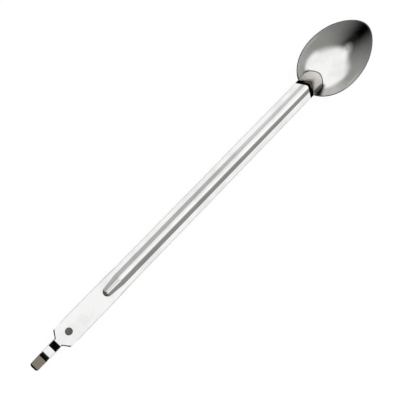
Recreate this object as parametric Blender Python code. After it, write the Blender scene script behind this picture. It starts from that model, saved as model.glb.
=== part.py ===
"""Long-handled stainless spoon: a pressed bowl, spot welded under one stamped strip handle.

World frame: metres, +Z up, +X runs from the hook at the tail to the tip of the bowl,
+Y runs across it. The origin is at the middle of the bounding box, on the surface that
the bowl and the hook rest on.
"""

import math

import bmesh
import bpy
import numpy as np
from mathutils import Vector

# Whole spoon
OVERALL_LENGTH = 0.5334
FIT_GAP = 0.0003
CUT_OVERRUN = 0.004

# Bowl: its outline is two half ellipses that meet at the widest place
BOWL_LENGTH = 0.1009
BOWL_REAR_REACH = 0.0456
BOWL_WIDTH = 0.0680
BOWL_HEIGHT = 0.0152
BOWL_WALL = 0.0014
BOWL_CURVE_POWER = 2.2
BOWL_FLAT_SHARE = 0.14
BOWL_TIP_NIP_SHARE = 0.14
BOWL_TIP_NIP_POWER = 2.5
BOWL_REACH_BLEND_SHARE = 0.35

# Handle blank, seen from above
HANDLE_SHEET = 0.0018
HANDLE_END_WIDTH = 0.0269
HANDLE_NECK_WIDTH = 0.0240
HANDLE_DRAW_IN = 0.0014
NECK_FLARE_RUN = 0.0160
SHOULDER_RUN = 0.0058
SHOULDER_SETBACK = 0.0012
SHOULDER_EASE_SHARE = 0.3
HANG_HOLE_DIAMETER = 0.0085
HANG_HOLE_SETBACK = 0.0179

# Rib pressed up along the handle
RIB_TAIL_SETBACK = 0.0564
RIB_TAIL_NOSE = 0.0046
RIB_TAIL_WIDTH = 0.0099
RIB_TAIL_HEIGHT = 0.0030
RIB_RAMP = 0.0245
RIB_FULL_WIDTH = 0.0153
RIB_FULL_HEIGHT = 0.0050
RIB_NECK_WIDTH = 0.0125
RIB_NECK_HEIGHT = 0.0034
RIB_BOWL_NOSE = 0.0066
RIB_BOWL_REACH = 0.0123
RIB_FLANK_POWER = 1.6
RIB_FILLET_SHARE = 0.12

# Neck and tongue: the strip rides over the rim, folds down along an arrow-shaped line that
# points to the tip, and lies on the rear wall of the bowl
RIM_CLEARANCE = 0.00405
FOLD_REACH = 0.0062
FOLD_RUN = 0.0070
FOLD_SWEEP_SHARE = 0.68
FOLD_POINT_RADIUS = 0.0015
TONGUE_REACH = 0.0251
TONGUE_END_RUN = 0.0090
TONGUE_BLUNT_ANGLE = math.radians(8)

# Hook at the tail, as runs along X
HOOK_WIDTH = 0.0113
STEP_RUN = 0.0090
SEAT_RUN = 0.0080
CURL_RUN = 0.0073
LEG_RUN = 0.0125
TIP_RUN = 0.0030
STEP_OUTER_RADIUS = 0.0030
STEP_INNER_RADIUS = 0.0012
STEP_ANGLE = math.radians(23)
TIP_EXTRA_ANGLE = math.radians(16)
TIP_CORNER_RUN = 0.0026
TIP_CORNER_WIDTH = 0.0039

# Spot welds between the tongue and the bowl
NUGGET_DIAMETER = 0.0050
NUGGET_THICKNESS = 0.0008
NUGGET_EDGE = 0.0002
FRONT_NUGGET_REACH = 0.0190
SIDE_NUGGET_REACH = 0.0118
SIDE_NUGGET_SPREAD = 0.0084

# Smoothness, in counts and angles
BOWL_SECTORS = 72
BOWL_RINGS = 13
ROUND_SIDES = 32
NUGGET_SIDES = 24
NUGGET_RINGS = 4
BEND_PIECES = 4
CURL_PIECES = 8
TIP_PIECES = 6
TONGUE_END_PIECES = 10
BISECTION_STEPS = 60
SHARP_ANGLE = math.radians(32)

# Columns of the handle's mesh: shares of the rib's half width, then of the strip's
RIB_COLUMN_SHARES = (0.0, 0.2, 0.42, 0.62, 0.79, 0.93, 1.06)
EDGE_COLUMN_SHARE = 0.86

# Places that follow from the sizes above
TAIL_X = -OVERALL_LENGTH / 2
BOWL_TIP_X = OVERALL_LENGTH / 2
BOWL_REAR_X = BOWL_TIP_X - BOWL_LENGTH
BOWL_CENTRE_X = BOWL_REAR_X + BOWL_REAR_REACH
HOOK_BEND_X = TAIL_X + STEP_RUN + SEAT_RUN + CURL_RUN + LEG_RUN + TIP_RUN
SHOULDER_START_X = HOOK_BEND_X + SHOULDER_SETBACK
SHOULDER_END_X = SHOULDER_START_X + SHOULDER_RUN
HANG_HOLE_X = HOOK_BEND_X + HANG_HOLE_SETBACK
RIB_TAIL_X = HANG_HOLE_X + RIB_TAIL_SETBACK
RIB_BOWL_X = BOWL_REAR_X + RIB_BOWL_REACH
TONGUE_END_X = BOWL_REAR_X + TONGUE_REACH
HANDLE_UNDER_Z = BOWL_HEIGHT + RIM_CLEARANCE
HANDLE_TOP_Z = HANDLE_UNDER_Z + HANDLE_SHEET


def clear_scene():
    """Remove whatever objects the scene starts with."""
    for item in list(bpy.data.objects):
        bpy.data.objects.remove(item, do_unlink=True)


def smooth_step(share):
    """Ease from 0 to 1 with level ends; shares outside that range stay at the ends."""
    share = np.clip(share, 0.0, 1.0)
    return share * share * (3.0 - 2.0 * share)


def steel(name, shade, roughness):
    """Stainless steel as a Principled material of one grey."""
    material = bpy.data.materials.new(name)
    material.use_nodes = True
    shader = material.node_tree.nodes["Principled BSDF"]
    shader.inputs["Base Color"].default_value = (shade, shade, shade, 1.0)
    shader.inputs["Metallic"].default_value = 1.0
    shader.inputs["Roughness"].default_value = roughness
    return material


def add_object(name, build, material=None):
    """Link a new object whose closed mesh the bmesh builder fills."""
    mesh = bpy.data.meshes.new(name)
    sketch = bmesh.new()
    build(sketch)
    bmesh.ops.recalc_face_normals(sketch, faces=sketch.faces)
    sketch.to_mesh(mesh)
    sketch.free()
    mesh.shade_smooth()
    mesh.set_sharp_from_angle(angle=SHARP_ANGLE)
    item = bpy.data.objects.new(name, mesh)
    bpy.context.scene.collection.objects.link(item)
    if material is not None:
        mesh.materials.append(material)
    return item


def add_cutter(name, build):
    """A guide object that only cuts: drawn as wire and left out of the model."""
    cutter = add_object(name, build)
    cutter.hide_render = True
    cutter.display_type = "WIRE"
    return cutter


def cut(target, cutter):
    """Subtract the cutter from the target with a live Boolean."""
    modifier = target.modifiers.new(cutter.name, "BOOLEAN")
    modifier.operation = "DIFFERENCE"
    modifier.solver = "EXACT"
    modifier.object = cutter


def skin_rings(sketch, rings, capped):
    """Faces between closed rings of points, with a face over each end ring if capped."""
    loops = [[sketch.verts.new(point) for point in ring] for ring in rings]
    for near, far in zip(loops, loops[1:]):
        for index in range(len(near)):
            after = (index + 1) % len(near)
            sketch.faces.new((near[index], near[after], far[after], far[index]))
    if capped:
        sketch.faces.new(list(reversed(loops[0])))
        sketch.faces.new(loops[-1])


def bowl_ring(rho, wall):
    """Points around the bowl at the share rho of its outline, drawn in by the wall."""
    angles = np.arange(BOWL_SECTORS) * math.tau / BOWL_SECTORS
    ahead = np.cos(angles)
    front_share = smooth_step((ahead / BOWL_REACH_BLEND_SHARE + 1.0) / 2)
    reach = BOWL_REAR_REACH + (BOWL_LENGTH - 2 * BOWL_REAR_REACH) * front_share
    nip = 1.0 - BOWL_TIP_NIP_SHARE * np.maximum(ahead, 0.0) ** BOWL_TIP_NIP_POWER
    x = BOWL_CENTRE_X + rho * (reach - wall) * ahead
    y = rho * (BOWL_WIDTH / 2 - wall) * np.sin(angles) * nip
    z = np.full(BOWL_SECTORS, BOWL_HEIGHT - bowl_depth(rho, BOWL_HEIGHT - wall))
    return np.stack([x, y, z], axis=1)


def bowl_depth(rho, depth):
    """Depth below the rim: flat in the middle, then a power curve that ends at the rim."""
    climb = np.maximum(rho - BOWL_FLAT_SHARE, 0.0) / (1.0 - BOWL_FLAT_SHARE)
    return depth * (1.0 - climb ** BOWL_CURVE_POWER)


def build_bowl(sketch):
    """Outer skin from the flat bottom to the rim, level rim land, inner skin back down."""
    shares = np.linspace(BOWL_FLAT_SHARE, 1.0, BOWL_RINGS)
    outer = [bowl_ring(rho, 0.0) for rho in shares]
    inner = [bowl_ring(rho, BOWL_WALL) for rho in reversed(shares)]
    skin_rings(sketch, outer + inner, capped=True)


def rear_wall(x, y):
    """Depth below the rim, and slope, of the bowl's inner face behind its widest place."""
    reach = BOWL_REAR_REACH - BOWL_WALL
    half = BOWL_WIDTH / 2 - BOWL_WALL
    along = (x - BOWL_CENTRE_X) / reach
    across = y / half
    rho = np.maximum(np.hypot(along, across), BOWL_FLAT_SHARE)
    depth = bowl_depth(rho, BOWL_HEIGHT - BOWL_WALL)
    climb = (rho - BOWL_FLAT_SHARE) / (1.0 - BOWL_FLAT_SHARE)
    rate = (BOWL_HEIGHT - BOWL_WALL) * BOWL_CURVE_POWER / (1.0 - BOWL_FLAT_SHARE)
    steepness = rate * climb ** (BOWL_CURVE_POWER - 1.0) / rho
    return depth, steepness * along / reach, steepness * across / half


def rib_half_width(x):
    """Half width of the rib: a quick ramp at its tail, then a slow taper to the neck."""
    taper = (x - RIB_TAIL_X) / (RIB_BOWL_X - RIB_TAIL_X)
    full = RIB_FULL_WIDTH + (RIB_NECK_WIDTH - RIB_FULL_WIDTH) * taper
    ramp = np.clip((x - RIB_TAIL_X) / RIB_RAMP, 0.0, 1.0)
    return (RIB_TAIL_WIDTH + (full - RIB_TAIL_WIDTH) * ramp) / 2


def rib_crest(x):
    """Height of the rib's crest, ramped and tapered like its width."""
    taper = (x - RIB_TAIL_X) / (RIB_BOWL_X - RIB_TAIL_X)
    full = RIB_FULL_HEIGHT + (RIB_NECK_HEIGHT - RIB_FULL_HEIGHT) * taper
    ramp = smooth_step((x - RIB_TAIL_X) / RIB_RAMP)
    return RIB_TAIL_HEIGHT + (full - RIB_TAIL_HEIGHT) * ramp


def rib_height(x, y):
    """A rounded ridge with closed, rounded noses and a small fillet along its foot."""
    tail_nose = np.maximum(1.0 - (x - RIB_TAIL_X) / RIB_TAIL_NOSE, 0.0)
    bowl_nose = np.maximum(1.0 - (RIB_BOWL_X - x) / RIB_BOWL_NOSE, 0.0)
    flank = np.abs(y / rib_half_width(x)) ** RIB_FLANK_POWER
    body = 1.0 - flank - tail_nose ** 2 - bowl_nose ** 2
    soft = (body + RIB_FILLET_SHARE) ** 2 / (4.0 * RIB_FILLET_SHARE)
    shape = np.where(body > RIB_FILLET_SHARE, body, np.where(body > -RIB_FILLET_SHARE, soft, 0.0))
    return rib_crest(x) * shape


def fold_start_x(y):
    """Line where the strip starts to fold down: an arrow head with a rounded point."""
    spread = np.hypot(y, FOLD_POINT_RADIUS) - FOLD_POINT_RADIUS
    return BOWL_REAR_X + FOLD_REACH - FOLD_SWEEP_SHARE * spread


def handle_top(x, y):
    """Upper face of the strip from the shoulders to the end of the tongue."""
    depth, slope_x, slope_y = rear_wall(x, y)
    lift = (FIT_GAP + HANDLE_SHEET) * np.sqrt(1.0 + slope_x ** 2 + slope_y ** 2)
    tongue = BOWL_HEIGHT - depth + lift
    fold = smooth_step((x - fold_start_x(y)) / FOLD_RUN)
    return HANDLE_TOP_Z + (tongue - HANDLE_TOP_Z) * fold + rib_height(x, y)


def half_width(x):
    """Half width of the strip at x, from the hook's rounded end to the tongue's."""
    blank = HANDLE_END_WIDTH + (HANDLE_NECK_WIDTH - HANDLE_END_WIDTH) * np.clip(
        (x - SHOULDER_END_X) / (BOWL_REAR_X - SHOULDER_END_X), 0.0, 1.0)
    ribbed = smooth_step((x - RIB_TAIL_X) / RIB_RAMP) * smooth_step((BOWL_REAR_X - x) / NECK_FLARE_RUN)
    handle = blank - HANDLE_DRAW_IN * ribbed
    ramp = np.clip((x - SHOULDER_START_X) / SHOULDER_RUN, 0.0, 1.0)
    shoulder = ramp + (smooth_step(ramp) - ramp) * SHOULDER_EASE_SHARE
    strip = (HOOK_WIDTH + (handle - HOOK_WIDTH) * shoulder) / 2
    corner = np.clip(1.0 - (x - TAIL_X) / TIP_CORNER_RUN, 0.0, 1.0)
    strip = strip - TIP_CORNER_WIDTH * (1.0 - np.sqrt(1.0 - corner ** 2))
    end = np.clip(1.0 - (tongue_limit_x() - x) / TONGUE_END_RUN, 0.0, 1.0)
    return strip * np.sqrt(1.0 - end ** 2)


def tongue_limit_x():
    """Where the tongue's rounded end would close if it weren't blunt at the very end."""
    return TONGUE_END_X + TONGUE_END_RUN * (1.0 - math.cos(TONGUE_BLUNT_ANGLE))


def hook_drop(leg_angle):
    """How far the hook's lowest corner lies below the handle's top face."""
    step = step_drop()
    curl = CURL_RUN * math.tan(leg_angle / 2)
    leg = LEG_RUN * math.tan(leg_angle)
    tip = TIP_RUN * math.tan(leg_angle + TIP_EXTRA_ANGLE / 2)
    last_facet_angle = leg_angle + TIP_EXTRA_ANGLE * (1.0 - 1.0 / (2 * TIP_PIECES))
    return step + curl + leg + tip + HANDLE_SHEET * math.cos(last_facet_angle)


def step_drop():
    """Drop of the step between the handle's end and the seat."""
    bends = STEP_OUTER_RADIUS + STEP_INNER_RADIUS
    straight = STEP_RUN - bends * math.sin(STEP_ANGLE)
    return bends * (1.0 - math.cos(STEP_ANGLE)) + straight * math.tan(STEP_ANGLE)


def solve_leg_angle():
    """Slope of the hook's leg that lets its tip just touch the resting surface."""
    low = 0.0
    high = math.radians(89) - TIP_EXTRA_ANGLE
    for _ in range(BISECTION_STEPS):
        middle = (low + high) / 2
        if hook_drop(middle) < HANDLE_TOP_Z:
            low = middle
        else:
            high = middle
    return (low + high) / 2


def arc_points(start, radius, from_angle, to_angle, pieces):
    """Points along a bend of the hook's top line, which heads towards -X."""
    sign = 1.0 if to_angle > from_angle else -1.0
    angles = np.linspace(from_angle, to_angle, pieces + 1)[1:]
    x = start[0] - sign * radius * (np.sin(angles) - math.sin(from_angle))
    z = start[1] - sign * radius * (math.cos(from_angle) - np.cos(angles))
    return list(zip(x, z))


def hook_line():
    """Top line of the hook, from the bend behind the shoulders to its tip, as (x, z)."""
    leg_angle = solve_leg_angle()
    end_angle = leg_angle + TIP_EXTRA_ANGLE
    curl_radius = CURL_RUN / math.sin(leg_angle)
    tip_radius = TIP_RUN / (math.sin(end_angle) - math.sin(leg_angle))
    seat_z = HANDLE_TOP_Z - step_drop()
    seat_x = HOOK_BEND_X - STEP_RUN
    bend_run = STEP_INNER_RADIUS * math.sin(STEP_ANGLE)
    bend_drop = STEP_INNER_RADIUS * (1.0 - math.cos(STEP_ANGLE))
    line = [(HOOK_BEND_X, HANDLE_TOP_Z)]
    line += arc_points(line[-1], STEP_OUTER_RADIUS, 0.0, STEP_ANGLE, BEND_PIECES)
    line += [(seat_x + bend_run, seat_z + bend_drop)]
    line += arc_points(line[-1], STEP_INNER_RADIUS, STEP_ANGLE, 0.0, BEND_PIECES)
    line += [(seat_x - SEAT_RUN, seat_z)]
    line += arc_points(line[-1], curl_radius, 0.0, leg_angle, CURL_PIECES)
    leg_start = line[-1]
    line += [(leg_start[0] - LEG_RUN, leg_start[1] - LEG_RUN * math.tan(leg_angle))]
    line += arc_points(line[-1], tip_radius, leg_angle, end_angle, TIP_PIECES)
    return line


def strip_stations():
    """X of each row of the handle's mesh between the hook's bend and the tongue's end."""
    limit = tongue_limit_x()
    swing = np.linspace(math.pi / 2, TONGUE_BLUNT_ANGLE, TONGUE_END_PIECES + 1)
    fold_start = fold_start_x(HANDLE_NECK_WIDTH / 2) - FIT_GAP
    tongue_start = limit - TONGUE_END_RUN
    pieces = [
        np.linspace(HOOK_BEND_X, SHOULDER_START_X, 2),
        np.linspace(SHOULDER_START_X, SHOULDER_END_X, 9),
        np.linspace(SHOULDER_END_X, RIB_TAIL_X - RIB_TAIL_NOSE / 8, 5),
        np.linspace(RIB_TAIL_X - RIB_TAIL_NOSE / 8, RIB_TAIL_X + RIB_TAIL_NOSE, 9),
        np.linspace(RIB_TAIL_X + RIB_TAIL_NOSE, RIB_TAIL_X + RIB_RAMP, 7),
        np.linspace(RIB_TAIL_X + RIB_RAMP, BOWL_REAR_X - NECK_FLARE_RUN, 9),
        np.linspace(BOWL_REAR_X - NECK_FLARE_RUN, fold_start, 6),
        np.linspace(fold_start, tongue_start, 24),
        limit - TONGUE_END_RUN * (1.0 - np.cos(swing)),
    ]
    return np.unique(np.round(np.concatenate(pieces), 9))


def column_offsets(x, half):
    """Offsets across the strip for one row: close together on the rib, then to the edge."""
    shares = np.array(RIB_COLUMN_SHARES)
    wide = half * EDGE_COLUMN_SHARE
    narrow = np.minimum(rib_half_width(x) * shares[-1], wide)
    before = smooth_step((RIB_TAIL_X - RIB_TAIL_NOSE - x) / RIB_TAIL_NOSE)
    after = smooth_step((x - RIB_BOWL_X) / (tongue_limit_x() - TONGUE_END_RUN - RIB_BOWL_X))
    inner = narrow + (wide - narrow) * np.maximum(before, after)
    side = np.append(shares / shares[-1] * inner, half)
    return np.concatenate([-side[:0:-1], side])


def build_handle(sketch):
    """The strip's upper face, row by row; its thickness is added below it."""
    rows = []
    for x, z in reversed(hook_line()[1:]):
        offsets = column_offsets(x, float(half_width(x)))
        rows.append([(x, y, z) for y in offsets])
    for x in strip_stations():
        offsets = column_offsets(x, float(half_width(x)))
        rows.append([(x, y, z) for y, z in zip(offsets, handle_top(x, offsets))])
    loops = [[sketch.verts.new(point) for point in row] for row in rows]
    for near, far in zip(loops, loops[1:]):
        for index in range(len(near) - 1):
            sketch.faces.new((near[index], far[index], far[index + 1], near[index + 1]))


def thicken(item):
    """Give the sheet its thickness, below the face that was drawn."""
    modifier = item.modifiers.new("sheet", "SOLIDIFY")
    modifier.thickness = HANDLE_SHEET
    modifier.offset = -1.0
    modifier.use_even_offset = True
    modifier.use_quality_normals = True


def build_hang_hole(sketch):
    """Cylinder through the flat end of the handle."""
    bmesh.ops.create_cone(
        sketch, cap_ends=True, segments=ROUND_SIDES, radius1=HANG_HOLE_DIAMETER / 2,
        radius2=HANG_HOLE_DIAMETER / 2, depth=HANDLE_SHEET + 2 * CUT_OVERRUN)


def lens_builder(grow):
    """A builder for a weld nugget's lens, grown all round by a clearance."""
    radius = NUGGET_DIAMETER / 2 + grow
    crown = NUGGET_THICKNESS / 2 + grow
    edge = NUGGET_EDGE / 2 + grow

    def ring(share, side):
        angles = np.arange(NUGGET_SIDES) * math.tau / NUGGET_SIDES
        height = side * (edge + (crown - edge) * (1.0 - share ** 2))
        flat = np.stack([np.cos(angles), np.sin(angles)], axis=1) * radius * share
        return [(x, y, height) for x, y in flat]

    def build(sketch):
        shares = np.linspace(0.0, 1.0, NUGGET_RINGS + 1)[1:]
        rings = [ring(share, -1.0) for share in shares]
        rings += [ring(share, 1.0) for share in reversed(shares)]
        skin_rings(sketch, rings, capped=True)

    return build


def wall_normal(x, y):
    """Direction square to the bowl's rear wall, pointing up into the bowl."""
    _, slope_x, slope_y = rear_wall(x, y)
    return Vector((-float(slope_x), -float(slope_y), 1.0)).normalized()


def place_on_wall(item, x, y, height):
    """Seat an object on the rear wall at (x, y), raised square to it by a height."""
    depth, _, _ = rear_wall(x, y)
    normal = wall_normal(x, y)
    item.location = Vector((x, y, BOWL_HEIGHT - float(depth))) + normal * height
    item.rotation_mode = "QUATERNION"
    item.rotation_quaternion = normal.to_track_quat("Z", "Y")


def add_weld(name, x, y, bowl, handle, material):
    """One nugget, and the pocket for it in both of the sheets that it joins."""
    nugget = add_object(name, lens_builder(0.0), material)
    pocket = add_cutter(name + "_pocket", lens_builder(FIT_GAP))
    place_on_wall(nugget, x, y, FIT_GAP / 2)
    place_on_wall(pocket, x, y, FIT_GAP / 2)
    cut(bowl, pocket)
    cut(handle, pocket)


def main():
    """Build the bowl, the handle and the welds that hold them together."""
    clear_scene()
    bowl = add_object("bowl", build_bowl, steel("polished_bowl_steel", 0.80, 0.10))
    handle = add_object("handle", build_handle, steel("polished_handle_steel", 0.82, 0.12))
    thicken(handle)
    hang_hole = add_cutter("hang_hole", build_hang_hole)
    hang_hole.location = (HANG_HOLE_X, 0.0, HANDLE_TOP_Z - HANDLE_SHEET / 2)
    cut(handle, hang_hole)
    front_x = BOWL_REAR_X + FRONT_NUGGET_REACH
    side_x = BOWL_REAR_X + SIDE_NUGGET_REACH
    welds = (
        ("weld_nugget_front", front_x, 0.0),
        ("weld_nugget_left", side_x, SIDE_NUGGET_SPREAD),
        ("weld_nugget_right", side_x, -SIDE_NUGGET_SPREAD),
    )
    for name, x, y in welds:
        add_weld(name, x, y, bowl, handle, steel(name + "_steel", 0.62, 0.35))


main()
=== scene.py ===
"""Looks of a long-handled stainless spoon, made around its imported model.

World frame: metres, +Z up, +X runs from the hook at the tail to the tip of the bowl, and
+Y across the spoon. The bowl and the handle are rebuilt as fine surfaces with rounded
sheet edges, from the same formulas as the solids that they stand for. The weld nuggets
between them stay as they are and only get a finish.
"""

import logging
import math
from dataclasses import dataclass
from enum import Enum
from typing import Any

import bpy
import numpy as np
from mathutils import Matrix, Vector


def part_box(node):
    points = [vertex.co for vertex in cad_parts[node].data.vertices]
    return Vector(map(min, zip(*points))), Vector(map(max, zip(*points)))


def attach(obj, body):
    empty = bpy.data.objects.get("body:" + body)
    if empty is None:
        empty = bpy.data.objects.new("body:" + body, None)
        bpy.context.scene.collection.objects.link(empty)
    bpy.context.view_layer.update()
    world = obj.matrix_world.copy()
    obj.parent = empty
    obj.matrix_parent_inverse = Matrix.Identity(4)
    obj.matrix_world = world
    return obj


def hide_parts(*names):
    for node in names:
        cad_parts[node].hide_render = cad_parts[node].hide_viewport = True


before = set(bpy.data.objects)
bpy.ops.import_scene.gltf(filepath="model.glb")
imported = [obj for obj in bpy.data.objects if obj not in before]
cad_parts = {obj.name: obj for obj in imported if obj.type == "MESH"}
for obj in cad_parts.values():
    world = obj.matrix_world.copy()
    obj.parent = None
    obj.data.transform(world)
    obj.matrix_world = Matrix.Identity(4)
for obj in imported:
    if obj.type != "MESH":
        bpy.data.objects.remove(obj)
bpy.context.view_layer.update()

LOG = logging.getLogger("spoon")
Array = np.ndarray


def smooth_step(share: Array) -> Array:
    """Ease from 0 to 1 with level ends, 3q² - 2q³, held outside that range."""
    share = np.clip(share, 0.0, 1.0)
    return share * share * (3.0 - 2.0 * share)


def unit(vectors: Array) -> Array:
    """The same vectors, each divided by its length."""
    return vectors / np.linalg.norm(vectors, axis=-1, keepdims=True)


def spans(start: float, *stretches: tuple[float, int]) -> Array:
    """Stations along a line, evenly spaced within each stretch.

    Args:
        start: where the first stretch starts.
        stretches: end and number of cells of each stretch, one after the other.

    Returns:
        The stations in rising order.
    """
    stations = [start]
    for end, cells in stretches:
        stations.extend(np.linspace(stations[-1], end, cells + 1)[1:])
    return np.array(stations)


def border_of(index: Array) -> Array:
    """Indices round a grid's border, anticlockwise seen from above."""
    return np.concatenate([index[:-1, 0], index[-1, :-1], index[:0:-1, -1], index[0, :0:-1]])


def linked(name: str, data: bpy.types.ID) -> bpy.types.Object:
    """Make an object and link it to the scene.

    Args:
        name: the object's name.
        data: its mesh, lamp or camera.

    Returns:
        The new object, at the origin.
    """
    item = bpy.data.objects.new(name, data)
    bpy.context.scene.collection.objects.link(item)
    return item


def group_of(name: str, piece: bpy.types.Object) -> bpy.types.Collection:
    """Make a collection of one piece, for a lamp's linking.

    Args:
        name: the collection's name.
        piece: the piece that it holds.

    Returns:
        The new collection, outside the scene.
    """
    group = bpy.data.collections.new(name)
    group.objects.link(piece)
    return group


class Skin:
    """Points and faces of one closed surface, collected band by band."""

    def __init__(self) -> None:
        """Start with no points and no faces."""
        self.points: list[Array] = []
        self.edges: list[Array] = []
        self.faces: list[Array] = []
        self.count = 0

    def add(self, points: Array, edge: Array | float = 0.0) -> Array:
        """Add points to the surface.

        Args:
            points: the points, in an array of any shape.
            edge: share of painted edge shade, one value or one for each point.

        Returns:
            The points' indices, in the same shape.
        """
        index = self.count + np.arange(points[..., 0].size).reshape(points.shape[:-1])
        self.points.append(points.reshape(-1, 3))
        self.edges.append(np.broadcast_to(edge, index.shape).ravel())
        self.count += index.size
        return index

    def cells(self, index: Array, keep: Array | None = None) -> None:
        """Add the faces of an open grid.

        Args:
            index: point indices, rows along X and columns across.
            keep: which cells get a face, or None for all of them.
        """
        quads = np.stack([index[:-1, :-1], index[1:, :-1], index[1:, 1:], index[:-1, 1:]], axis=-1)
        self.faces.append(quads.reshape(-1, 4) if keep is None else quads[keep])

    def band(self, loops: Array) -> None:
        """Add faces between closed loops.

        Args:
            loops: point indices, one loop in each row.
        """
        after = np.roll(loops, -1, axis=1)
        quads = np.stack([loops[:-1], after[:-1], after[1:], loops[1:]], axis=-1)
        self.faces.append(quads.reshape(-1, 4))

    def fan(self, loop: Array, hub: int) -> None:
        """Close a loop of point indices with triangles to one hub point."""
        self.faces.append(np.stack([loop, np.roll(loop, -1), np.full_like(loop, hub)], axis=-1))

    def finish(self, name: str, material: bpy.types.Material) -> bpy.types.Object:
        """Make the mesh object, smooth shaded, from the points that faces use.

        Args:
            name: name of the object and its mesh.
            material: finish of the whole surface.

        Returns:
            The new object, linked to the scene.
        """
        corners = np.concatenate([face.ravel() for face in self.faces])
        used, flat = np.unique(corners, return_inverse=True)
        faces, start = [], 0
        for block in self.faces:
            faces += flat[start:start + block.size].reshape(block.shape).tolist()
            start += block.size
        mesh = bpy.data.meshes.new(name)
        mesh.from_pydata(np.concatenate(self.points)[used].tolist(), [], faces)
        # The edge attribute holds painted shade for the sheet's edges.
        ground = mesh.attributes.new("edge", "FLOAT", "POINT")
        ground.data.foreach_set("value", np.concatenate(self.edges)[used])
        mesh.shade_smooth()
        mesh.materials.append(material)
        return linked(name, mesh)


class Signal:
    """A shader socket that takes part in Python arithmetic; each operator adds a Math node."""

    def __init__(self, graph: "Graph", socket: bpy.types.NodeSocket) -> None:
        """Wrap one output socket of a graph's node."""
        self.graph = graph
        self.socket = socket

    def math(self, operation: str, *values: Any) -> "Signal":
        """Add a Math node over the given values, in their order."""
        return self.graph.node("ShaderNodeMath", {"operation": operation}, dict(enumerate(values)))

    def __add__(self, other: Any) -> "Signal":
        """This value plus another."""
        return self.math("ADD", self, other)

    __radd__ = __add__

    def __sub__(self, other: Any) -> "Signal":
        """This value less another."""
        return self.math("SUBTRACT", self, other)

    def __rsub__(self, other: Any) -> "Signal":
        """Another value less this one."""
        return self.math("SUBTRACT", other, self)

    def __mul__(self, other: Any) -> "Signal":
        """This value times another."""
        return self.math("MULTIPLY", self, other)

    __rmul__ = __mul__

    def __truediv__(self, other: Any) -> "Signal":
        """This value divided by another."""
        return self.math("DIVIDE", self, other)

    def __pow__(self, other: Any) -> "Signal":
        """This value raised to a power."""
        return self.math("POWER", self, other)

    def __abs__(self) -> "Signal":
        """This value without its sign."""
        return self.math("ABSOLUTE", self)

    def at_least(self, floor: Any) -> "Signal":
        """The larger of this value and another."""
        return self.math("MAXIMUM", self, floor)

    def eased(self, low: float, high: float) -> "Signal":
        """Ease from 0 at low to 1 at high, level at both ends."""
        return self.graph.node(
            "ShaderNodeMapRange", {"interpolation_type": "SMOOTHSTEP"},
            {"Value": self, "From Min": low, "From Max": high})

    def faded(self, low: float, high: float) -> "Signal":
        """Ease from 1 at low to 0 at high, level at both ends."""
        return 1.0 - self.eased(low, high)

    def sides(self) -> tuple["Signal", "Signal"]:
        """How far this value is above 0, and how far below."""
        return self.at_least(0.0), (self * -1.0).at_least(0.0)


class Graph:
    """The node tree of one material or world."""

    def __init__(self, owner: bpy.types.Material | bpy.types.World) -> None:
        """Turn the owner's nodes on and empty its tree.

        Args:
            owner: the material or world.
        """
        owner.use_nodes = True
        self.tree = owner.node_tree
        self.tree.nodes.clear()

    def node(self, kind: str, settings: dict | None = None, inputs: dict | None = None,
             output: int | str = 0) -> Signal:
        """Add a node, set it up and connect it.

        Args:
            kind: the node's type.
            settings: its properties, set before its sockets.
            inputs: socket name or number to a value or a Signal.
            output: which of its outputs to give back.

        Returns:
            The chosen output.
        """
        item = self.tree.nodes.new(kind)
        for key, value in (settings or {}).items():
            setattr(item, key, value)
        for key, value in (inputs or {}).items():
            if isinstance(value, Signal):
                self.tree.links.new(value.socket, item.inputs[key])
            else:
                item.inputs[key].default_value = value
        return Signal(self, item.outputs[output]) if item.outputs else Signal(self, None)

    def blend(self, factor: Any, first: Any, second: Any) -> Signal:
        """Colour between two colours, the first at factor 0 and the second at 1."""
        colours = {0: factor, 6: first, 7: second}
        return self.node("ShaderNodeMix", {"data_type": "RGBA"}, colours, 2)

    def scaled(self, vector: Signal, scale: tuple[float, float, float]) -> Signal:
        """A vector times a fixed scale on each axis."""
        return self.node("ShaderNodeVectorMath", {"operation": "MULTIPLY"}, {0: vector, 1: scale})

    def tinted(self, tint: tuple[float, float, float], amount: Signal) -> Signal:
        """A colour scaled by an amount."""
        return self.node("ShaderNodeVectorMath", {"operation": "SCALE"}, {0: tint, "Scale": amount})

    def axes(self, vector: Signal) -> tuple[Signal, Signal, Signal]:
        """The three parts of a vector."""
        outputs = self.node("ShaderNodeSeparateXYZ", None, {0: vector}).socket.node.outputs
        return tuple(Signal(self, outputs[axis]) for axis in range(3))

    def noise(self, vector: Signal, detail: float, roughness: float) -> Signal:
        """Fractal noise at scale 1 of an already scaled vector, around a half."""
        return self.node("ShaderNodeTexNoise", None,
                         {"Vector": vector, "Scale": 1.0, "Detail": detail, "Roughness": roughness})


def grey(value: float) -> tuple[float, float, float, float]:
    """A neutral colour."""
    return (value, value, value, 1.0)


class Grain(Enum):
    """Direction of a finish's polishing lines, as line spacings along X, Y and Z in metres."""

    LENGTHWISE = (0.030, 0.00028, 0.00028)
    BOWL = (0.012, 0.00035, 0.00035)
    NONE = (0.002, 0.002, 0.002)


@dataclass(frozen=True)
class ArrowLine:
    """A line across the strip shaped like an arrow's head, and the run of what begins there."""

    start_x: float
    run: float
    sweep: float
    point: float

    def start(self, y: Array | float) -> Array | float:
        """X of the line at y: the start less sweep times a rounded distance off the middle."""
        return self.start_x - self.sweep * (np.hypot(y, self.point) - self.point)

    def share(self, x: Signal, y: Signal) -> Signal:
        """Ease from 0 on the line to 1 where its run ends, in a shader."""
        off = (y * y + self.point ** 2) ** 0.5 - self.point
        return ((x - self.start_x + off * self.sweep) / self.run).eased(0.0, 1.0)


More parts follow.
